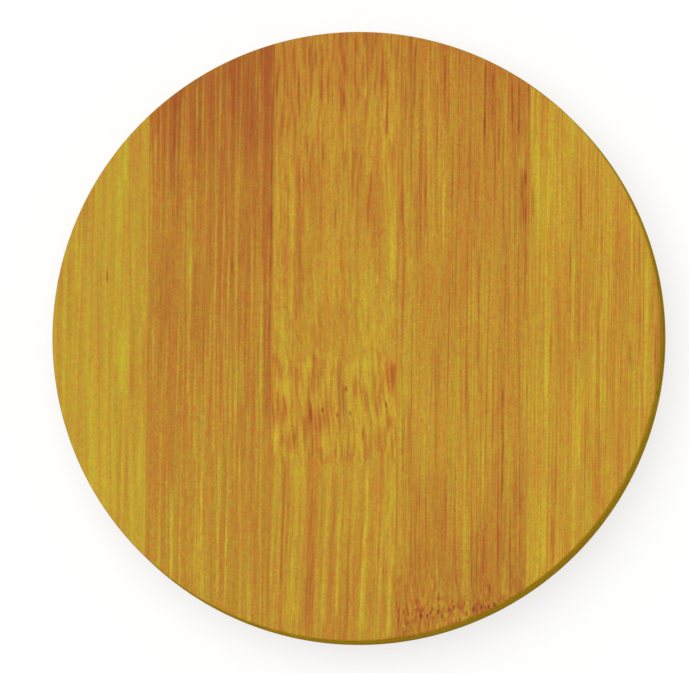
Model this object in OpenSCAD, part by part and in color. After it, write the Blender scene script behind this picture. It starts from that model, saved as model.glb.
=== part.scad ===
// Round bamboo drink coaster, laminated from flat strips in three plies.
// The face and back strips run along Y and the core strips run across them, along X.
// Origin: centre of the underside. +Z points up, towards the cup.

/* [Disc] */
// Diameter of the finished disc
disc_d = 100; // [92:1:108]
// Radius of the eased edge round the top and bottom rims
arris_r = 0.3; // [0.1:0.05:0.6]

/* [Plies] */
// Thickness of the face ply that the cup stands on
face_ply_t = 2.5; // [1.8:0.1:3.5]
// Thickness of the cross-grain core ply
core_ply_t = 2.8; // [1.8:0.1:4]
// Thickness of the back ply that rests on the table
back_ply_t = 2.5; // [1.8:0.1:3.5]
// Thickness of the glue film between two plies
film_t = 0.1; // [0.06:0.02:0.2]
// Thickness of the glue line between two strips of a ply
seam_t = 0.1; // [0.06:0.02:0.2]

/* [Face strips] */
// Width of the second strip from the left
face_2_w = 20.5; // [18:0.1:23]
// Width of the third strip from the left
face_3_w = 20.6; // [18:0.1:23]
// Width of the fourth strip from the left
face_4_w = 21.4; // [18:0.1:23]
// Distance from the centre of the disc to the middle of the third strip
face_offset = -3.6; // [-6:0.1:0]
// Width that the round cut leaves of the sixth strip, at the right-hand rim
face_6_w = 0.8; // [0.6:0.1:3]

/* [Core strips] */
// Width of a core strip
core_strip_w = 20.9; // [18:0.1:22]
// Distance from the centre of the disc to the middle of the centre core strip
core_offset = 1.2; // [-4:0.1:4]

/* [Back strips] */
// Width of a back strip
back_strip_w = 20.9; // [18:0.1:22]
// Distance from the centre of the disc to the middle of the centre back strip
back_offset = 1.9; // [-4:0.1:4]

/* [Hidden] */
// Steps round the disc, and small flats that round each eased edge
rim_steps = 360;
arris_steps = 3;
core_count = 5;
back_count = 5;
// Length that cutting shapes run past what they cut
overrun = 1;

disc_r = disc_d / 2;
reach = disc_r + overrun;
disc_t = back_ply_t + film_t + core_ply_t + film_t + face_ply_t;

// Heights of the two faces of each ply; the outer plies run past the disc, which trims them
back_z = [-overrun, back_ply_t];
core_z = [back_ply_t + film_t, back_ply_t + film_t + core_ply_t];
face_z = [disc_t - face_ply_t, disc_t + overrun];

// Centre lines of the seams between equal strips, laid out from the centre strip
function even_seams(count, width, offset) = [for (k = [1 : count - 1]) offset + (k - count / 2) * width];

// The face is laid out from its third strip; the first and fifth strips fill what is left
face_mid = [face_offset - face_3_w / 2, face_offset + face_3_w / 2];
face_seams = [face_mid[0] - face_2_w, face_mid[0], face_mid[1], face_mid[1] + face_4_w, disc_r - face_6_w];
face_count = len(face_seams) + 1;
core_seams = even_seams(core_count, core_strip_w, core_offset);
back_seams = even_seams(back_count, back_strip_w, back_offset);

// Outlines of strip number i, counted from 1, between its two glue lines
function strip_start(seams, i) = i == 1 ? -reach : seams[i - 2] + seam_t / 2;
function strip_end(seams, i) = i > len(seams) ? reach : seams[i - 1] - seam_t / 2;

// The strips differ in tone, because each comes from another culm
FACE_TONES = ["#c19b33", "#b98231", "#bf8d32", "#bd8732", "#c39433", "#bd7c30"];
CORE_TONES = ["#a98032", "#b58c38", "#a67b2e", "#b08634", "#ad8433"];
BACK_TONES = ["#bd9134", "#c29a3a", "#b78631", "#bf9537", "#ba8b32"];
GLUE_TONE = "#8a6a2c";

// Points of a quarter round of the eased edge, centred at height z and starting at an angle
function eased_edge(z, from) = [
    for (k = [0 : arris_steps])
        let (a = from + k * 90 / arris_steps)
            [disc_r - arris_r + arris_r * cos(a), z + arris_r * sin(a)]
];

// Half section of the disc, with its eased top and bottom edges
module disc_profile() {
    polygon(concat(
        [[0, 0]],
        eased_edge(arris_r, -90),
        eased_edge(disc_t - arris_r, 0),
        [[0, disc_t]]
    ));
}

// What the round cut leaves of a bar that runs along Y, from x0 to x1 and from z[0] to z[1]
module cut_bar(x0, x1, z) {
    intersection() {
        rotate_extrude($fn = rim_steps)
            disc_profile();
        translate([x0, -reach, z[0]])
            cube([x1 - x0, 2 * reach, z[1] - z[0]]);
    }
}

// Strip number i of a ply
module strip(seams, i, z) {
    cut_bar(strip_start(seams, i), strip_end(seams, i), z);
}

// All glue lines of a ply, one thin upright bar in each seam
module edge_glue(seams, z) {
    color(GLUE_TONE)
        for (x = seams)
            cut_bar(x - seam_t / 2, x + seam_t / 2, z);
}

// Glue film across the whole disc, on top of the ply that ends at height z
module glue_film(z) {
    color(GLUE_TONE)
        translate([0, 0, z])
            cylinder(r = disc_r, h = film_t, $fn = rim_steps);
}

// Face strip with the grain along Y
module face_strip(i) {
    color(FACE_TONES[i - 1])
        strip(face_seams, i, face_z);
}

// Core strip, turned so that its grain runs along X
module core_strip(i) {
    color(CORE_TONES[i - 1])
        rotate([0, 0, 90])
            strip(core_seams, i, core_z);
}

// Back strip with the grain along Y
module back_strip(i) {
    color(BACK_TONES[i - 1])
        strip(back_seams, i, back_z);
}

module face_edge_glue() {
    edge_glue(face_seams, face_z);
}

module core_edge_glue() {
    rotate([0, 0, 90])
        edge_glue(core_seams, core_z);
}

module back_edge_glue() {
    edge_glue(back_seams, back_z);
}

module upper_glue_film() {
    glue_film(core_z[1]);
}

module lower_glue_film() {
    glue_film(back_z[1]);
}

for (i = [1 : face_count])
    face_strip(i);
for (i = [1 : core_count])
    core_strip(i);
for (i = [1 : back_count])
    back_strip(i);
face_edge_glue();
upper_glue_film();
core_edge_glue();
lower_glue_film();
back_edge_glue();
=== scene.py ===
"""The looks of a round bamboo coaster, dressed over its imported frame."""

import math

import bmesh
import bpy
from mathutils import Matrix, Vector


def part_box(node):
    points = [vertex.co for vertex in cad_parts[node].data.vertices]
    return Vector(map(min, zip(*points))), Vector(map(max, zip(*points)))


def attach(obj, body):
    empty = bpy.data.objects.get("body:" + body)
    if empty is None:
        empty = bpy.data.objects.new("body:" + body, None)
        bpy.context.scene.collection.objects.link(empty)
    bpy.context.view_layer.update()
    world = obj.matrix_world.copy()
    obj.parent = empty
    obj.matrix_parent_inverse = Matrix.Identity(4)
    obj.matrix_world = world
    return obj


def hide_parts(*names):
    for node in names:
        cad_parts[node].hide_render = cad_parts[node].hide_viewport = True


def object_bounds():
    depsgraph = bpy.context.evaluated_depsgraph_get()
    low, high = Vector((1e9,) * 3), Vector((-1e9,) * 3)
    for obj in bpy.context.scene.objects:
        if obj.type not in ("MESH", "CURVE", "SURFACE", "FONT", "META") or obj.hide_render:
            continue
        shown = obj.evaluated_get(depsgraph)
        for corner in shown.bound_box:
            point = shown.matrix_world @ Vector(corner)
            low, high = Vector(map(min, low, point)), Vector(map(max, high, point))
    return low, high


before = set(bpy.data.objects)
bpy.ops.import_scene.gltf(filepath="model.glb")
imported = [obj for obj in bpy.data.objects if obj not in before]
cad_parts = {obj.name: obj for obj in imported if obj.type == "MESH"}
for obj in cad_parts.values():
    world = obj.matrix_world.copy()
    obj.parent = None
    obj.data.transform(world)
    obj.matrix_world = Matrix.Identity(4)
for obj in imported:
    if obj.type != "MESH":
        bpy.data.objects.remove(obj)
cad_low, cad_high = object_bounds()

MM = 0.001
RADIUS = (cad_high[0] - cad_low[0]) / 2
TOP = cad_high[2]

# Shape of the eased rim edge
ARRIS = 0.3 * MM
ARRIS_STEPS = 6
ROUND_STEPS = 288
# How near a cut, in metres, a point counts as lying on it
CUT_TOLERANCE = 1e-7
# A face belongs to the wall if its normal points outward by more than this
OUTWARD = 0.7
# How far the normal of an upright face may rise, and how far that of a flat face rises at least
UPRIGHT_RISE, FLAT_RISE = 0.01, 0.999
# Edges where the surface turns by more than this stay sharp
SHARP = math.radians(35)

# Where the photograph, 689 by 673 pixels, has the face, and how far to the right of it and below it
# the underside shows
IMAGE_W, IMAGE_H = 689, 673
FACE_X, FACE_Y, FACE_RADIUS = 356.94, 336.45, 304.7
RIM_RIGHT, RIM_DOWN = 4.05, 3.98
# How far the strips lean to the right in the photograph
LEAN = math.radians(0.62)
CAMERA_DISTANCE = 1.5
CLIP_END = 10

# Strength of the even sky as it lights and as the eye sees it
SKY, SEEN_SKY = 0.55, 1.0
# What sky and lamp together give a level surface; the satin finish, which mirrors the seen sky,
# adds the rest
LEVEL = 0.976
LAMP_PLACE = Vector((-0.3, 0.35, 1.0))
LAMP_SIZE = 1.2
# Size of the floor, and how far it lies below the coaster
FLOOR_SIZE = 3
FLOOR_GAP = 0.05 * MM
# Grey of the floor to the light that it throws on and to the eye, and its own light to the eye
FLOOR_GREY = 0.8
FLOOR_SEEN_GREY = 0.3
FLOOR_GLOW = 0.72
# Numbers of the colour sockets of a mix node
MIX_A, MIX_B, MIX_RESULT = 6, 7, 2

# Colours of bamboo, as a tone and the sRGB colour that it stands for, from dark fibre to pale flesh
BAMBOO = (
    (64, (150, 62, 39)),
    (80, (160, 80, 41)),
    (97, (170, 97, 44)),
    (113, (179, 113, 46)),
    (129, (187, 129, 48)),
    (144, (192, 144, 50)),
    (160, (197, 160, 51)),
    (175, (201, 173, 52)),
    (195, (206, 182, 53)),
)
# Colours of the sanded and sealed wall of the disc
WALL = (
    (64, (117, 84, 14)),
    (129, (180, 142, 26)),
    (190, (211, 178, 42)),
)
# Tones of the wall's flesh in each ply, and of the glue on the faces, in the lines and in the films
FACE_WALL, CORE_WALL, BACK_WALL = 144, 138, 144
GLUE_TONE, LINE_WALL, FILM_WALL = 132, 104, 92

# Reflectivity of the satin finish on the planed faces, and the light that it adds to their colour
SATIN = 0.2
GLOSS = 0.018
# Roughness of the planed faces, of the sanded wall and of glue, and how far it varies
FACE_ROUGHNESS, WALL_ROUGHNESS, GLUE_ROUGHNESS = 0.55, 0.8, 0.5
ROUGHNESS_SPREAD = 0.03
# How far fibres, bundles of them in the wall, the finest grain and glue stand out, in millimetres
FIBRE_RELIEF, BUNDLE_RELIEF, SPECKLE_RELIEF, GLUE_RELIEF = 0.003, 0.006, 0.001, 0.0004

# Brings the spread of Blender's noise to about 1
NOISE_GAIN = 9.5
# Keeps the noise off whole numbers of cells, where it is weak
OFF_CELL = 0.4
# Noises of the planed faces: width and length in millimetres, and what is added to the strip's seed
MOTTLE = (2.6, 22, 40)
WEAR = (0.35, 3.5, 65)
SPECKLE_NOISES = ((0.26, 0.26, 70), (0.28, 1, 75))
BLUSH_NOISES = ((0.5, 0.5, 80), (1, 16, 90))
RELIEF = (0.35, 6, 95)
# How strong the first and second noise are in speckle and in blush
SPECKLE_STRENGTHS = (0.9, 0.55)
BLUSH_STRENGTHS = (1.15, 0.65)
# Noises of the wall and of glue
WALL_BUNDLES = (0.36, 14, 0)
WALL_FLESH = (1.2, 20, 10)
WALL_SPECKLE = (0.25, 0.25, 20)
GLUE_FACE = (1, 3, 0)
GLUE_WALL = (1, 1, 0)

# How far the finest grain changes red, green and blue, and how far redder or greener spots do
SPECKLE = (0.022, 0.05, 0.05)
BLUSH = (0.016, -0.042, 0.0)

# Fibres from this length up each start at a place of their own, in millimetres
LONG_FIBRE = 8
# Width over which the starts of fibres change, in widths of a long and of a short fibre
LONG_APART, SHORT_APART = 1.6, 10
# Width over which the ends of a section are ragged, in millimetres
RAGGED_WIDTH = 0.9
# How far beyond bareness the noise goes before a fibre has its full strength
FIBRE_RISE = 1.4
# What the noise of the starts and of the ragged ends adds to the seed
START_SEED, RAGGED_SEED = 3, 5
# Seeds go up by this from one set of threads, one section and one strip to the next
THREADS_STEP, SECTIONS_STEP, STRIP_STEP = 10, 7, 100
CORE_SEED, BACK_SEED = 1000, 2000

# Usual width of a streak, and the length over which its ends fade, in millimetres
STREAK_WIDTH = 0.38
STREAK_FADE = 2.0
# Distances from a streak's middle, in widths, up to which it is full and from which it is gone
STREAK_FULL, STREAK_GONE = 0.15, 0.85
# How much of the fade lies beyond a streak's end
FADE_BEYOND = 0.6
# Wear makes streaks stronger and weaker along the grain, about this mean and by this spread
WEAR_MEAN, WEAR_SPREAD = 1.3, 0.3

# Usual width and height of a dark pore, in millimetres
PORE_SIZE = (0.42, 0.75)
# Distances from a pore's middle, in radii, up to which it is full and from which it is gone
PORE_FULL, PORE_GONE = 0.3, 1.5
# Change of tone of a pore, and the share of the light that it takes besides
PORE_TONE = -30
PORE_SHADE = 0.22

# How much darker the wall is where the fibres end in it than where they run along it, in tones
END_SHADE = 16
# Noise at which a bundle of fibres begins and at which it is full, and its darkening in tones
BUNDLE_FROM, BUNDLE_FULL = 0.7, 1.4
BUNDLE_SHADE = 26
# Tones by which the wall's flesh and speckle vary, and glue on the faces and in the wall
FLESH_SPREAD, WALL_SPECKLE_SPREAD = 4, 2
GLUE_SPREAD, GLUE_WALL_SPREAD = 5, 4


def linear(colour):
    """An sRGB colour of 0 to 255 as linear light."""
    parts = [c / 255 for c in colour]
    return [p / 12.92 if p <= 0.04045 else ((p + 0.055) / 1.055) ** 2.4 for p in parts]


class Field:
    """A number that varies over a surface: the output of a shader node, with arithmetic."""

    def __init__(self, graph, socket):
        self.graph = graph
        self.socket = socket

    def __add__(self, other):
        return self.graph.math("ADD", self, other)

    def __sub__(self, other):
        return self.graph.math("SUBTRACT", self, other)

    def __mul__(self, other):
        return self.graph.math("MULTIPLY", self, other)

    __radd__ = __add__

    def size(self):
        """This number without its sign."""
        return self.graph.math("ABSOLUTE", self)

    def between(self, low, high, out_low=0.0, out_high=1.0):
        """Runs smoothly from out_low to out_high as this number goes from low to high."""
        node = self.graph.node("ShaderNodeMapRange")
        node.interpolation_type = "SMOOTHSTEP"
        self.graph.join(self, node.inputs["Value"])
        limits = {"From Min": low, "From Max": high, "To Min": out_low, "To Max": out_high}
        for name, value in limits.items():
            node.inputs[name].default_value = value
        return Field(self.graph, node.outputs["Result"])

    def curve(self, points):
        """The height of a smooth curve through (place, height) points, at this number."""
        places = [p for p, h in points]
        heights = [h for p, h in points]
        start, reach = min(places), max(places) - min(places)
        base, rise = min(heights), max(max(heights) - min(heights), 1e-3)
        share = (self - start) * (1 / reach)
        node = self.graph.node("ShaderNodeFloatCurve")
        curve = node.mapping.curves[0]
        for place, height in sorted(points)[1:-1]:
            curve.points.new((place - start) / reach, (height - base) / rise)
        for end, (place, height) in ((0, min(points)), (-1, max(points))):
            curve.points[end].location = ((place - start) / reach, (height - base) / rise)
        node.mapping.update()
        self.graph.join(share, node.inputs["Value"])
        return Field(self.graph, node.outputs["Value"]) * rise + base


class Graph:
    """The shader nodes of one material, with places in millimetres: x, y, and z down from the top.

    A node is made after the nodes that feed it, because the renderer works them out in that order
    and has room for only some of their results at a time.
    """

    def __init__(self, name):
        self.material = bpy.data.materials.new(name)
        self.material.use_nodes = True
        self.tree = self.material.node_tree
        self.shader = self.tree.nodes["Principled BSDF"]
        source = self.node("ShaderNodeTexCoord")
        place = self.node("ShaderNodeVectorMath", operation="SCALE")
        place.inputs["Scale"].default_value = 1 / MM
        self.tree.links.new(source.outputs["Object"], place.inputs[0])
        parts = self.node("ShaderNodeSeparateXYZ")
        self.tree.links.new(place.outputs[0], parts.inputs[0])
        self.x, self.y, height = (Field(self, socket) for socket in parts.outputs)
        self.z = height - TOP / MM

    def node(self, kind, **settings):
        """A new node with the given settings."""
        node = self.tree.nodes.new(kind)
        for name, value in settings.items():
            setattr(node, name, value)
        return node

    def join(self, value, socket):
        """Sets a node's input to a number or links it to a field."""
        if isinstance(value, Field):
            self.tree.links.new(value.socket, socket)
        else:
            socket.default_value = value

    def math(self, operation, *values):
        """The result of arithmetic on numbers and fields."""
        node = self.node("ShaderNodeMath", operation=operation)
        for value, socket in zip(values, node.inputs):
            self.join(value, socket)
        return Field(self, node.outputs[0])

    def combine(self, *values):
        """The socket of a vector made of numbers and fields."""
        node = self.node("ShaderNodeCombineXYZ")
        for value, socket in zip(values, node.inputs):
            self.join(value, socket)
        return node.outputs[0]

    def noise(self, place, width, length, seed):
        """Smooth noise around zero that mostly stays within 2, in cells that wide and long."""
        across, along, depth = place
        layer = seed + OFF_CELL
        cell = self.combine(across * (1 / width), along * (1 / length), depth * (1 / width) + layer)
        node = self.node("ShaderNodeTexNoise", noise_dimensions="3D")
        node.inputs["Scale"].default_value = 1.0
        node.inputs["Detail"].default_value = 0.0
        self.tree.links.new(cell, node.inputs["Vector"])
        return self.math("MULTIPLY_ADD", Field(self, node.outputs[0]), NOISE_GAIN, -NOISE_GAIN / 2)

    def grain(self, place, kind, seed):
        """Noise of one kind, which is (width, length, what is added to the seed)."""
        width, length, own_seed = kind
        return self.noise(place, width, length, seed + own_seed)

    def blend(self, place, kinds, strengths, seed):
        """Two kinds of noise added together, each as strong as given."""
        first, second = (self.grain(place, k, seed) * s for k, s in zip(kinds, strengths))
        return first + second

    def ramp(self, value, stops, gloss=0.0):
        """The colour that (value, sRGB colour) stops give to a number, less what a gloss adds."""
        low, high = stops[0][0], stops[-1][0]
        share = (value - low) * (1 / (high - low))
        node = self.node("ShaderNodeValToRGB")
        elements = node.color_ramp.elements
        while len(elements) < len(stops):
            elements.new(0.5)
        for element, (at, colour) in zip(elements, stops):
            element.position = (at - low) / (high - low)
            element.color = (*(max(part - gloss, 0) for part in linear(colour)), 1)
        self.join(share, node.inputs["Fac"])
        return node.outputs["Color"]

    def tinted(self, colour, factors):
        """A colour with its red, green and blue multiplied by three factors."""
        factors = self.combine(*factors)
        node = self.node("ShaderNodeVectorMath", operation="MULTIPLY")
        self.tree.links.new(colour, node.inputs[0])
        self.tree.links.new(factors, node.inputs[1])
        return node.outputs[0]

    def finish(self, colour, roughness, height, specular):
        """Joins the surface's colour, roughness and height, the last in millimetres."""
        self.tree.links.new(colour, self.shader.inputs["Base Color"])
        self.join(roughness, self.shader.inputs["Roughness"])
        self.shader.inputs["Specular IOR Level"].default_value = specular
        bump = self.node("ShaderNodeBump")
        bump.inputs["Distance"].default_value = MM
        self.join(height, bump.inputs["Height"])
        self.tree.links.new(bump.outputs[0], self.shader.inputs["Normal"])
        return self.material


def uneven(graph, place, width, seed):
    """Noise that changes across the grain but not along it."""
    across, _, depth = place
    return graph.noise((across, OFF_CELL, depth), width, 1, seed)


def threads(graph, place, width, length, pale, dark, bare, seed):
    """Change of tone by straight pale and dark fibres that come and go along the grain."""
    across, along, depth = place
    apart = width * (LONG_APART if length >= LONG_FIBRE else SHORT_APART)
    start = uneven(graph, place, apart, seed + START_SEED) * length
    line = graph.noise((across, along + start, depth), width, length, seed)
    full = bare + FIBRE_RISE
    return line.between(bare, full) * pale - line.between(-bare, -full) * dark


def section(graph, place, top, bottom, fade, lean, fibres, seed):
    """Threads in one length of the strip, with ragged ends, that lean right as they go down."""
    across, along, depth = place
    middle, half = (top + bottom) / 2, (top - bottom) / 2
    ragged = uneven(graph, place, RAGGED_WIDTH, seed + RAGGED_SEED) * fade + along
    near = (ragged - middle).size().between(half - fade, half + fade, 1, 0)
    return threads(graph, (across + along * lean, along, depth), *fibres, seed) * near


def streak(place, x, top, bottom, change, width=STREAK_WIDTH):
    """Change of tone by one streak along the grain, from top to bottom."""
    across, along, _ = place
    half = (top - bottom) / 2
    fade = min(half, STREAK_FADE)
    aside = (across - x).size()
    beside = aside.between(width * STREAK_FULL, width * STREAK_GONE, change, 0)
    ends = (along - (top + bottom) / 2).size().between(half - fade, half + fade * FADE_BEYOND, 1, 0)
    return beside * ends


def pore(graph, place, x, y, width=PORE_SIZE[0], height=PORE_SIZE[1]):
    """A small dark oval spot, from 0 to 1."""
    across, along, _ = place
    spot = graph.combine(across, along)
    scaled = graph.node("ShaderNodeVectorMath", operation="MULTIPLY_ADD")
    graph.tree.links.new(spot, scaled.inputs[0])
    scaled.inputs[1].default_value = (2 / width, 2 / height, 0)
    scaled.inputs[2].default_value = (-2 * x / width, -2 * y / height, 0)
    distance = graph.node("ShaderNodeVectorMath", operation="LENGTH")
    graph.tree.links.new(scaled.outputs[0], distance.inputs[0])
    return Field(graph, distance.outputs["Value"]).between(PORE_FULL, PORE_GONE, 1, 0)


def bamboo(name, wood, seed, turned=False):
    """Material of the planed faces of one strip."""
    graph = Graph(name)
    across, along = (graph.y, graph.x) if turned else (graph.x, graph.y)
    tone = along.curve(wood["tones"])
    if "bend" in wood:
        across -= along.curve(wood["bend"])
    place = (across, along, graph.z)
    for n, each in enumerate(wood["threads"]):
        tone += threads(graph, place, *each, seed + THREADS_STEP * n)
    for n, each in enumerate(wood.get("sections", ())):
        tone += section(graph, place, *each, seed + SECTIONS_STEP * n + 1)
    tone += graph.grain(place, MOTTLE, seed) * wood["mottle"]
    if "streaks" in wood:
        wear = graph.grain(place, WEAR, seed) * WEAR_SPREAD + WEAR_MEAN
        tone += sum(streak(place, *each) for each in wood["streaks"]) * wear
    speckle = graph.blend(place, SPECKLE_NOISES, SPECKLE_STRENGTHS, seed)
    speckle *= wood.get("speckle", 1)
    blush = graph.blend(place, BLUSH_NOISES, BLUSH_STRENGTHS, seed)
    blush *= wood.get("blush", 1)
    factors = [speckle * fine + blush * hue + 1 for fine, hue in zip(SPECKLE, BLUSH)]
    if "flushes" in wood:
        factors[0] += sum(streak(place, *each) for each in wood["flushes"])
    factors[0] *= wood.get("warmth", 1)
    if "pores" in wood:
        dark = sum(pore(graph, place, *each) for each in wood["pores"])
        tone += dark * PORE_TONE
        factors = [factor * (dark * -PORE_SHADE + 1) for factor in factors]
    colour = graph.tinted(graph.ramp(tone, BAMBOO, GLOSS), factors)
    relief = graph.grain(place, RELIEF, seed) * FIBRE_RELIEF
    roughness = speckle * ROUGHNESS_SPREAD + FACE_ROUGHNESS
    return graph.finish(colour, roughness, relief + speckle * SPECKLE_RELIEF, SATIN)


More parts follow.
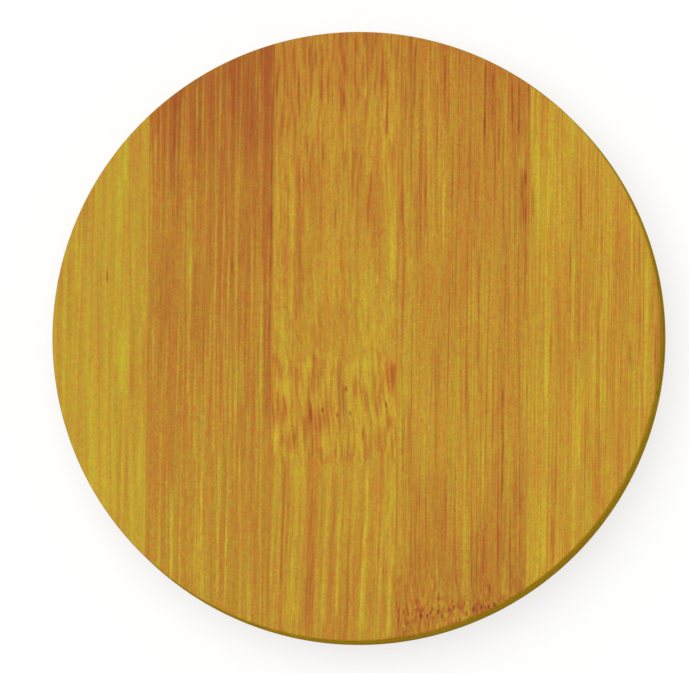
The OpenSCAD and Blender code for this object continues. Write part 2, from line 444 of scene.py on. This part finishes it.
# The strips of the face, from left to right, with sizes in millimetres and changes in tones.
# Tones are (place along the grain, tone).
# Threads are (width, length, change of pale ones, of dark ones, bareness between them).
# Sections are (top, bottom, fade at the ends, lean, threads), for one length of the strip.
# Streaks are (x, top, bottom, change, width where it isn't usual). Most are lines that stand out to
# the eye, and a few are broad bands that are a little paler or darker than the wood beside them.
# A bend is (place along the grain, how far the fibres stand to the right there).
# Pores are (x, y, and width and height where they aren't usual).
# Speckle is how strong the finest grain is, and mottle how strong the broad patches are.
# Wall is how much paler than usual the strip is in the wall, in tones.
# Blush is how strongly the wood turns redder and greener from place to place, and warmth how much
# redder it is than its tone alone makes it. Flushes are streaks that change its red alone.
FACE = (
    {
        "tones": (
            (-50, 164), (-28, 163.5), (-12, 156.3), (4, 156), (20, 154), (32, 156), (50, 154),
        ),
        "warmth": 0.978,
        "wall": 5,
        "threads": ((1, 18, 7, 10, 0.1), (0.6, 14, 3, 7, 0.3)),
        "mottle": 2,
        "speckle": 0.9,
        "blush": 0.78,
        "streaks": (
            (-36.7, 33, 27, -3, 1), (-38.4, 31, 24, 7, 0.6), (-46.1, 16, 6, 7, 1.1),
            (-44.4, 24, 17, -9), (-42.1, 22, 6, -6), (-35.6, 33, 8, -6, 0.6), (-35.7, 8, 1, -12),
            (-47.4, 13, -1, -10, 0.7), (-39.5, -5, -15, -12, 0.7), (-37, -4, -10, -12),
            (-36.2, -14, -24, -8, 0.7), (-34.9, 6, -1, 10), (-38.3, 1, -11, 9, 1.5),
            (-35.1, -6, -24, 9, 1.3), (-39.2, 26, 8, 8, 0.8), (-43.6, -4, -27, 7, 1),
            (-48.1, 6, -14, 8, 0.7),
        ),
        "pores": ((-41.1, 9.7, 0.35, 2.2),),
        "flushes": ((-36.7, 34, 27, 0.03, 1),),
    },
    {
        "tones": ((-50, 132), (-28, 136), (-12, 131), (5, 123), (20, 123), (35, 107), (50, 98)),
        "warmth": 0.99,
        "wall": -6,
        "threads": ((0.54, 17, 18, 8, 0.6), (1.2, 14, 2, 2, 0), (0.3, 2.4, 3, 4, 0.2)),
        "mottle": 2.5,
        "speckle": 1.2,
        "streaks": (
            (-33.3, 42, -4, 8, 2.2), (-33.4, 34, 28, 18), (-31.4, 29, 16, 12),
            (-28.9, 40, 28, 10), (-27.6, 29, -17, 15), (-26.7, 42, 12, 18), (-25.6, 43, 32, 16),
            (-23.4, 19, -19, 15), (-22.8, 45, 30, 18), (-22, 20, 13, 16), (-21.3, 43, 27, 16),
            (-21.2, 13, -6, 17), (-19.8, 13, -13, 16), (-18.8, 12, -11, 15), (-17.4, 16, -18, 11),
            (-16.4, 44, 26, 20), (-15.7, 12, -12, 14), (-14.2, 41, 22, -19), (-14.2, 22, 10, -9),
            (-14.6, 22, -14, -9, 1.3), (-32.9, 38, 33, -14), (-30.6, 34, 23, -9, 1),
            (-20.6, 13, 10, -22), (-31.4, 1, -14, 14), (-26.5, -3, -21, 14),
            (-22.5, -20, -43, 18), (-25.3, -23, -42, 17), (-30.1, -25, -39, 15),
            (-21.1, -29, -45, 15), (-19.1, -17, -24, 10), (-14.7, -16, -21, 13),
            (-14.3, -35, -46, -10), (-31.1, -23.9, -24.3, 30, 0.3), (-20.5, -25.4, -25.7, 30),
            (-27, 0, -40, 7, 2.2), (-29.8, 42, 18, -6, 2.2), (-18.3, 22, -22, -5, 3),
        ),
    },
    {
        "tones": (
            (-50, 137), (-30, 140), (-12, 146), (4, 147), (15, 141), (26, 138), (34, 143.5),
            (42, 131.5), (50, 128),
        ),
        "warmth": 1.015,
        "threads": ((0.4, 7, 4, 5, 0.3), (0.3, 2.4, 4, 5, 0.3)),
        "sections": (
            (55, 28, 5, 0, (0.42, 5, 7, 21, 0.1)),
            (34, -3, 3, 0.02, (0.8, 13, 8, 8, 0.1)),
            (10, -4.5, 1.5, 0.2, (0.5, 2.6, 6, 8, 0.1)),
            (-3.6, -20, 0.6, 0, (0.52, 4.6, 16.5, 22, 0.1)),
            (-19.5, -55, 2, 0, (0.8, 30, 11, 9, 0.2)),
        ),
        "mottle": 3.5,
        "speckle": 1.1,
        "blush": 0.87,
        "bend": ((-50, 0), (-34, 0.4), (-22, 0.7), (-18, 0.68), (-12, 0.35), (-4, 0), (50, 0)),
        "streaks": (
            (4.6, 40, 33, -20), (-6.3, 43, 36, -17), (-10, 43, 37, -16), (-2.5, 41, 37, -16),
            (-9.1, 50, 44.5, -16), (-7.3, 50, 44.5, -13), (-5.4, 52, 45.5, -15),
            (-4.3, 49, 44, -16), (-3.4, 52, 46, -13), (5.9, 48, 43.2, -14),
            (5.2, 60, -60, 9, 2.5), (-9, 60, -60, -3, 2.5), (-13.2, 28, 0, 9, 0.6),
            (-10.7, 28, 3, 6, 1.1), (-12.1, 28, 5, -4, 0.7), (-9.4, 22, 4, -6, 1.2),
            (-5.9, 33, 27, -15), (5.6, 32, 26, -16), (7.1, 25, 18, -18), (-7.6, 33, 29, -14),
            (6.7, 44, 41, 18), (1.1, 42, 39, 16), (-11, 27, 14, 9, 0.8), (5.9, 23, 9, 10, 1.1),
            (-7.8, -11, -14.3, -12), (0.4, -15.1, -17.1, -24), (5.4, -3.3, -8.3, -19, 2.3),
            (5.1, -12.8, -15.1, -20, 1), (5.7, -5, -10.8, -12), (-13, -9, -15, -8, 1.6),
            (-7.6, -11, -17.7, -9, 1.7), (-10.8, -15, -18.2, -13, 0.6), (2.3, -8, -12, -16, 1.1),
            (3.4, -14, -17.6, -18), (-12.8, -15.6, -18.2, -18, 0.7), (0.9, -4.8, -8.5, 20, 0.7),
            (-14, -13, -18, 20, 0.8), (-12.3, -21, -48, -15), (-7.5, -26, -48, -6, 1.3),
            (-4.1, -23, -47, -7, 0.7), (-1.3, -33, -48, -9), (4.5, -33, -48, -10),
            (-10.4, -21, -47, 9, 1.6), (-5.1, -21, -47, 13, 0.8), (-3, -21, -46, 14, 0.5),
            (1.2, -21, -48, 18, 0.7), (4.7, -21, -37, 14, 0.5), (5.9, -21, -49, 12, 0.8),
        ),
        "pores": (
            (-5.9, -12.1, 0.5, 0.8), (-3.5, -12.9), (-1.4, -12.6, 0.4, 0.8),
            (-1.8, -8.6, 0.5, 0.9), (4.7, -11.2, 0.4, 1),
        ),
        "flushes": (
            (5.4, -3.3, -8.3, 0.06, 2.2), (5.1, -12.8, -15.1, 0.06, 1),
            (-7.5, -11, -18, 0.04, 1.7), (-12.4, -7, -17, 0.035, 1.5),
        ),
    },
    {
        "tones": (
            (-50, 124), (-37, 133), (-25, 141), (-14, 151), (0, 145), (14, 139), (30, 141),
            (38, 134), (50, 118),
        ),
        "warmth": 1.013,
        "threads": ((0.4, 9, 4, 6, 0.4), (0.3, 2.4, 4, 5, 0.3)),
        "sections": (
            (55, -40, 3, 0, (0.4, 18, 9, 21, 0.6)),
            (-39, -55, 1.5, 0.04, (0.42, 1.8, 12, 13, 0.1)),
            (-42.8, -47, 0.7, 0, (0.45, 0.8, 6, 20, 0.3)),
            (-46, -51, 0.8, 0, (0.4, 1.2, 14, 0, 0.2)),
        ),
        "mottle": 3.5,
        "speckle": 1.15,
        "blush": 0.92,
        "streaks": (
            (9, 48, 37, -20), (12.8, 42, 30, -16), (14, 47, 35, -22), (20.6, 45, 31, -20),
            (21.85, 44, 33, -20), (22.9, 40, 29, -22), (25.1, 42, 35, -8), (26.25, 42, 30, -30),
            (27.4, 36, 25, -16, 0.35), (27.2, 27.5, 18.5, -21, 1.5), (27, 19, 13, -11, 0.7),
            (27.95, 28, 4, 12, 0.5), (28.3, 31, 21, -16), (15.3, 33, 21, -20), (11, 35, 17, -15),
            (7.2, 24, 17, -16, 0.6), (19.8, 14, -5, -16), (14, 26, 14, 14), (19, 15, 1, 12),
            (18, -6, -13, -17), (24.1, -7, -27, -22), (28, -7, -14, -16), (23.8, -42, -43.3, -12),
            (10.6, -34, -40, -16), (14.3, -30, -36, -16), (19.2, -28, -41, -12),
            (21.1, -28, -40, -15, 0.33), (25.5, -28, -41, -14, 0.33), (23.6, -30, -39, -12),
            (22.3, -40.4, -42.8, -21), (26.9, -29, -38, 12, 0.4), (7.4, -43, -49, -10, 0.33),
            (10.8, 0, -14, 14), (20.9, -16, -26, 13), (18.1, -29, -39, 3), (8.7, 60, -36, 7, 2.6),
            (23.5, 12, -38, -8, 2.2), (11.4, -28, -50, 6, 2.2),
        ),
        "pores": (
            (8.9, -45.5), (11, -45.8), (12, -45.8), (12.6, -45.3), (12.9, -44.7), (13.8, -45.1),
            (14.5, -45.9), (15.6, -44.8), (16.4, -44.4), (18.5, -45.4), (19.5, -44.6),
            (20.9, -44.4), (22.1, -44.3), (23.1, -44, 0.6, 0.9),
        ),
        "flushes": (
            (17.5, -34, -55, -0.025, 40), (27.3, 27.5, 18.5, 0.06, 1.1),
            (27, -22, -46, -0.035, 3.5),
        ),
    },
    {
        "tones": (
            (-50, 142), (-38, 149), (-28, 146), (-14, 149.5), (5, 144.5), (20, 151), (40, 157),
        ),
        "warmth": 1.035,
        "threads": ((0.3, 18, 17, 13, 0.6), (0.28, 12, 7, 7, 0.3), (0.3, 2.4, 3, 4, 0.3)),
        "mottle": 2.5,
        "blush": 0.85,
        "streaks": (
            (36.5, 34, 18, -20), (40, 18, 4, -16), (32.6, 38, 29, -9, 0.5), (42.7, 19, 8, -18),
            (45.4, 18, 11, -14), (46.2, 17, 10, -12), (46.4, 5, -4, -19), (34.8, 16, 4, -20),
            (28.6, 25, 19, -16), (39.5, 6, -27, -15, 0.6), (29.1, 47, 31, -10, 1.2),
            (31.1, 38, 18, 9, 1.1), (35.4, 14, -1, 20), (31.1, 12, -38, 19, 0.5),
            (41.6, 15, 3, 12), (44.9, 21, -1, 12), (47.4, 14, -13, 14), (36.5, -3, -21, 17),
            (35.8, -24, -35, 16), (39.1, 1, -21, 18), (40.1, -7, -15, 12), (31.8, 1, -7, -22),
            (32.8, -20, -27, -16), (32.5, -29, -38, -16, 0.7), (46.6, -5, -9, -18),
            (44.7, 0, -5, -18), (37.9, -12, -24, -7, 1.3), (40.6, -26, -29, -14),
            (29.6, -24, -41, 7, 1.1), (49, 2, -5, -22), (49.1, -5, -9, -12),
            (32.8, 32, 8, 4, 2.2), (41.6, -19, -31, 7, 2.4), (47.4, -9, -19, -6, 2),
        ),
    },
    {
        "tones": ((-10, 130), (0, 120), (10, 130)),
        "threads": ((0.45, 16, 9, 9, 0),),
        "mottle": 3,
        "streaks": ((49.2, -1, -4.7, -26), (49.4, -5, -11, -12, 0.8)),
    },
)
CORE_TONES = (138, 146, 134, 143, 140)
BACK_TONES = (147, 153, 138, 149, 142)
# Middle of the plain plies' tones, and how much of a strip's distance from it shows in its wall
PLAIN_TONE = 142
PLAIN_WALL_SHARE = 0.7
# How much a plain strip's ends differ from its middle
PLAIN_SLOPE = 3


def plain(tone):
    """Wood of an even tone, for the plies that the photograph doesn't show."""
    return {
        "tones": ((-50, tone + PLAIN_SLOPE), (0, tone), (50, tone - PLAIN_SLOPE)),
        "threads": ((0.5, 20, 14, 15, 0.6), (0.4, 9, 7, 8, 0.3), (0.3, 2.4, 4, 5, 0.3)),
        "mottle": 4,
        "wall": (tone - PLAIN_TONE) * PLAIN_WALL_SHARE,
    }


def wall(name, tone, seed, turned=False):
    """Material of a strip's sanded wall, where its fibres show from the side or end on."""
    graph = Graph(name)
    place = (graph.y, graph.x, graph.z) if turned else (graph.x, graph.y, graph.z)
    # Bundles of fibres show as dots where they end in the wall and as lines where they run along it
    bundles = graph.grain(place, WALL_BUNDLES, seed).between(BUNDLE_FROM, BUNDLE_FULL)
    flesh = graph.grain(place, WALL_FLESH, seed) * FLESH_SPREAD
    speckle = graph.grain(place, WALL_SPECKLE, seed)
    # Wood cut across its fibres is darker than wood cut along them
    along = place[1] * (MM / RADIUS)
    across_grain = along * along * END_SHADE
    flesh = flesh + speckle * WALL_SPECKLE_SPREAD
    colour = graph.ramp(flesh - bundles * BUNDLE_SHADE - across_grain + tone, WALL)
    roughness = speckle * ROUGHNESS_SPREAD + WALL_ROUGHNESS
    relief = bundles * BUNDLE_RELIEF + speckle * SPECKLE_RELIEF
    return graph.finish(colour, roughness, relief, 0.0)


def quarter():
    """Angles of the points of a quarter round."""
    return [math.pi / 2 * k / ARRIS_STEPS for k in range(ARRIS_STEPS + 1)]


def rim():
    """The (radius, height) points of the rim, from the underside up to the top."""
    points = []
    for angle in quarter():
        out, up = ARRIS * math.sin(angle), ARRIS - ARRIS * math.cos(angle)
        points.append((RADIUS - ARRIS + out, up))
    for angle in quarter():
        out, up = ARRIS * math.cos(angle), ARRIS * math.sin(angle)
        points.append((RADIUS - ARRIS + out, TOP - ARRIS + up))
    return points


def disc():
    """The whole finished disc as a bmesh, with both rim edges eased."""
    mesh = bmesh.new()
    rings = []
    for radius, height in rim():
        ring = []
        for k in range(ROUND_STEPS):
            turn = 2 * math.pi * k / ROUND_STEPS
            ring.append(mesh.verts.new((radius * math.cos(turn), radius * math.sin(turn), height)))
        rings.append(ring)
    for low, high in zip(rings, rings[1:]):
        for k in range(ROUND_STEPS):
            n = (k + 1) % ROUND_STEPS
            mesh.faces.new((low[k], low[n], high[n], high[k]))
    mesh.faces.new(list(reversed(rings[0])))
    mesh.faces.new(rings[-1])
    return mesh


def cut(mesh, low, high):
    """Cuts the disc down to a box, and closes each cut."""
    for axis in range(3):
        for limit, side in ((low[axis], -1), (high[axis], 1)):
            normal = Vector((0, 0, 0))
            normal[axis] = side
            result = bmesh.ops.bisect_plane(
                mesh,
                geom=mesh.verts[:] + mesh.edges[:] + mesh.faces[:],
                dist=CUT_TOLERANCE,
                plane_co=normal * limit * side,
                plane_no=normal,
                clear_outer=True,
            )
            edges = [e for e in result["geom_cut"] if isinstance(e, bmesh.types.BMEdge)]
            if edges:
                bmesh.ops.holes_fill(mesh, edges=[e for e in edges if e.is_boundary], sides=0)
    return mesh


def on_wall(face):
    """Whether a face belongs to the round wall, up to halfway round its eased edges."""
    middle = face.calc_center_median()
    outward = Vector((middle.x, middle.y, 0)).normalized()
    return face.normal.dot(outward) > OUTWARD and middle.xy.length > RADIUS - ARRIS


def piece(name, boxes, materials, node):
    """A piece of the disc that fills the given boxes, in place of a CAD node."""
    data = bpy.data.meshes.new(name)
    whole = bmesh.new()
    for low, high in boxes:
        part = bpy.data.meshes.new("part")
        mesh = cut(disc(), low, high)
        mesh.to_mesh(part)
        mesh.free()
        whole.from_mesh(part)
        bpy.data.meshes.remove(part)
    for face in whole.faces:
        face.smooth = on_wall(face) or UPRIGHT_RISE < abs(face.normal.z) < FLAT_RISE
        face.material_index = 1 if on_wall(face) else 0
    for edge in whole.edges:
        edge.smooth = edge.calc_face_angle(0) < SHARP
    bmesh.ops.triangulate(whole, faces=[f for f in whole.faces if len(f.verts) > 4])
    whole.to_mesh(data)
    whole.free()
    thing = bpy.data.objects.new(name, data)
    bpy.context.scene.collection.objects.link(thing)
    for material in materials:
        data.materials.append(material)
    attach(thing, "root")
    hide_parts(node)


def joints_between(nodes, axis):
    """Boxes of the thin gaps between neighbouring strips, reaching past the disc along them."""
    boxes = [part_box(node) for node in nodes]
    boxes.sort(key=lambda box: box[0][axis])
    gaps = []
    for (low, high), (next_low, _) in zip(boxes, boxes[1:]):
        first, last = Vector(cad_low), Vector(cad_high)
        first[axis], last[axis] = high[axis], next_low[axis]
        first.z, last.z = low.z, high.z
        gaps.append((first, last))
    return gaps


def strip_piece(node, wood, wall_tone, seed, turned=False):
    """One strip, with its planed faces and its part of the wall."""
    wall_tone += wood.get("wall", 0)
    materials = (bamboo(node, wood, seed, turned), wall(f"{node}_wall", wall_tone, seed, turned))
    piece(f"bamboo_{node}", [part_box(node)], materials, node)


def glue_material(name, kind, tone, spread, stops, gloss, roughness, reflectivity):
    """Thin cured glue that varies a little about its tone."""
    graph = Graph(name)
    clouds = graph.grain((graph.x, graph.y, graph.z), kind, 0)
    colour = graph.ramp(clouds * spread + tone, stops, gloss)
    varied = clouds * ROUGHNESS_SPREAD + roughness
    return graph.finish(colour, varied, clouds * GLUE_RELIEF, reflectivity)


def glue(name, wall_tone):
    """Materials of glue on the planed faces and in the wall."""
    return (
        glue_material(
            name, GLUE_FACE, GLUE_TONE, GLUE_SPREAD, BAMBOO, GLOSS, GLUE_ROUGHNESS, SATIN
        ),
        glue_material(
            f"{name}_wall", GLUE_WALL, wall_tone, GLUE_WALL_SPREAD, WALL, 0.0, WALL_ROUGHNESS, 0.0
        ),
    )


def all_strips():
    """The strips of the face, the core and the back, numbered from 1."""
    for i, wood in enumerate(FACE, 1):
        strip_piece(f"face_strip_{i}", wood, FACE_WALL, STRIP_STEP * i)
    for i, tone in enumerate(CORE_TONES, 1):
        seed = CORE_SEED + STRIP_STEP * i
        strip_piece(f"core_strip_{i}", plain(tone), CORE_WALL, seed, turned=True)
    for i, tone in enumerate(BACK_TONES, 1):
        seed = BACK_SEED + STRIP_STEP * i
        strip_piece(f"back_strip_{i}", plain(tone), BACK_WALL, seed)


def all_glue():
    """The glue lines in the joints of each ply, and the two films between the plies."""
    line_materials = glue("glue", LINE_WALL)
    film_materials = glue("glue_film", FILM_WALL)
    for ply, strips, axis in (("face", FACE, 0), ("core", CORE_TONES, 1), ("back", BACK_TONES, 0)):
        nodes = [f"{ply}_strip_{i + 1}" for i in range(len(strips))]
        gaps = joints_between(nodes, axis)
        piece(f"{ply}_glue_lines", gaps, line_materials, f"{ply}_edge_glue")
    for film in ("upper_glue_film", "lower_glue_film"):
        piece(f"thin_{film}", [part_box(film)], film_materials, film)


def camera():
    """A parallel view from almost straight above, which shows the rim at the lower right."""
    pixels = math.hypot(RIM_RIGHT, RIM_DOWN)
    # The tilt narrows the face by 1 - cos(tilt) one way, so the scale splits the difference
    tilt = math.asin(pixels / FACE_RADIUS * RADIUS / TOP)
    per_metre = FACE_RADIUS / RADIUS / (1 - (1 - math.cos(tilt)) / 2)
    rim_way = math.atan2(RIM_DOWN, RIM_RIGHT)
    turn = -math.atan(math.tan(rim_way - LEAN) / math.cos(tilt))
    away = Vector((math.cos(turn), math.sin(turn), 0))
    up = Vector((0, 0, 1))
    look = up * math.cos(tilt) + away * math.sin(tilt)
    fall = away * math.cos(tilt) - up * math.sin(tilt)
    side = look.cross(fall)
    right = fall * math.cos(rim_way) + side * math.sin(rim_way)
    top = side * math.cos(rim_way) - fall * math.sin(rim_way)
    data = bpy.data.cameras.new("camera")
    data.type = "ORTHO"
    data.ortho_scale = IMAGE_W / per_metre
    data.clip_end = CLIP_END
    thing = bpy.data.objects.new("camera", data)
    bpy.context.scene.collection.objects.link(thing)
    centre = Vector((0, 0, TOP))
    centre -= right * (FACE_X - IMAGE_W / 2) / per_metre
    centre += top * (FACE_Y - IMAGE_H / 2) / per_metre
    place = centre + look * CAMERA_DISTANCE
    thing.matrix_world = Matrix((
        (right.x, top.x, look.x, place.x),
        (right.y, top.y, look.y, place.y),
        (right.z, top.z, look.z, place.z),
        (0, 0, 0, 1),
    ))
    bpy.context.scene.camera = thing


def seen(nodes, links):
    """Gives 1 to a ray that shows something to the eye, straight, mirrored or through glass."""
    path = nodes.new("ShaderNodeLightPath")
    ray = path.outputs["Is Camera Ray"]
    for kind in ("Is Glossy Ray", "Is Transmission Ray"):
        either = nodes.new("ShaderNodeMath")
        either.operation = "MAXIMUM"
        links.new(ray, either.inputs[0])
        links.new(path.outputs[kind], either.inputs[1])
        ray = either.outputs[0]
    return ray


def lighting():
    """Even light from the whole sky and a large soft lamp up on the left."""
    world = bpy.data.worlds.new("sky")
    bpy.context.scene.world = world
    world.use_nodes = True
    nodes, links = world.node_tree.nodes, world.node_tree.links
    background = nodes["Background"]
    strength = nodes.new("ShaderNodeMapRange")
    strength.inputs["To Min"].default_value = SKY
    strength.inputs["To Max"].default_value = SEEN_SKY
    links.new(seen(nodes, links), strength.inputs["Value"])
    links.new(strength.outputs["Result"], background.inputs["Strength"])
    background.inputs["Color"].default_value = (1, 1, 1, 1)
    lamp = bpy.data.lights.new("lamp", "AREA")
    lamp.shape = "DISK"
    lamp.size = LAMP_SIZE
    distance = LAMP_PLACE.length
    # Watts that bring a level white surface to that brightness, together with the sky
    reach = distance ** 2 + (LAMP_SIZE / 2) ** 2
    lamp.energy = (LEVEL - SKY) * math.pi ** 2 * reach / (LAMP_PLACE.z / distance)
    thing = bpy.data.objects.new("lamp", lamp)
    thing.location = LAMP_PLACE
    thing.rotation_euler = LAMP_PLACE.to_track_quat("Z", "Y").to_euler()
    bpy.context.scene.collection.objects.link(thing)


def floor():
    """A pale floor, white to the eye, that keeps the coaster's shadow."""
    data = bpy.data.meshes.new("floor")
    mesh = bmesh.new()
    bmesh.ops.create_grid(mesh, x_segments=1, y_segments=1, size=FLOOR_SIZE)
    mesh.to_mesh(data)
    mesh.free()
    thing = bpy.data.objects.new("floor", data)
    thing.location.z = cad_low[2] - FLOOR_GAP
    bpy.context.scene.collection.objects.link(thing)
    material = bpy.data.materials.new("floor")
    material.use_nodes = True
    nodes, links = material.node_tree.nodes, material.node_tree.links
    shader = nodes["Principled BSDF"]
    shader.inputs["Roughness"].default_value = 1
    shader.inputs["Specular IOR Level"].default_value = 0
    shader.inputs["Emission Color"].default_value = (1, 1, 1, 1)
    ray = seen(nodes, links)
    # To the eye most of the floor's white is its own light, so the shadow on it stays pale
    tint = nodes.new("ShaderNodeMix")
    tint.data_type = "RGBA"
    for socket, grey in ((MIX_A, FLOOR_GREY), (MIX_B, FLOOR_SEEN_GREY)):
        tint.inputs[socket].default_value = (grey, grey, grey, 1)
    links.new(ray, tint.inputs["Factor"])
    links.new(tint.outputs[MIX_RESULT], shader.inputs["Base Color"])
    glow = nodes.new("ShaderNodeMath")
    glow.operation = "MULTIPLY"
    glow.inputs[1].default_value = FLOOR_GLOW
    links.new(ray, glow.inputs[0])
    links.new(glow.outputs[0], shader.inputs["Emission Strength"])
    data.materials.append(material)


all_strips()
all_glue()
camera()
lighting()
floor()
bpy.context.scene.view_settings.view_transform = "Standard"

bpy.context.view_layer.update()
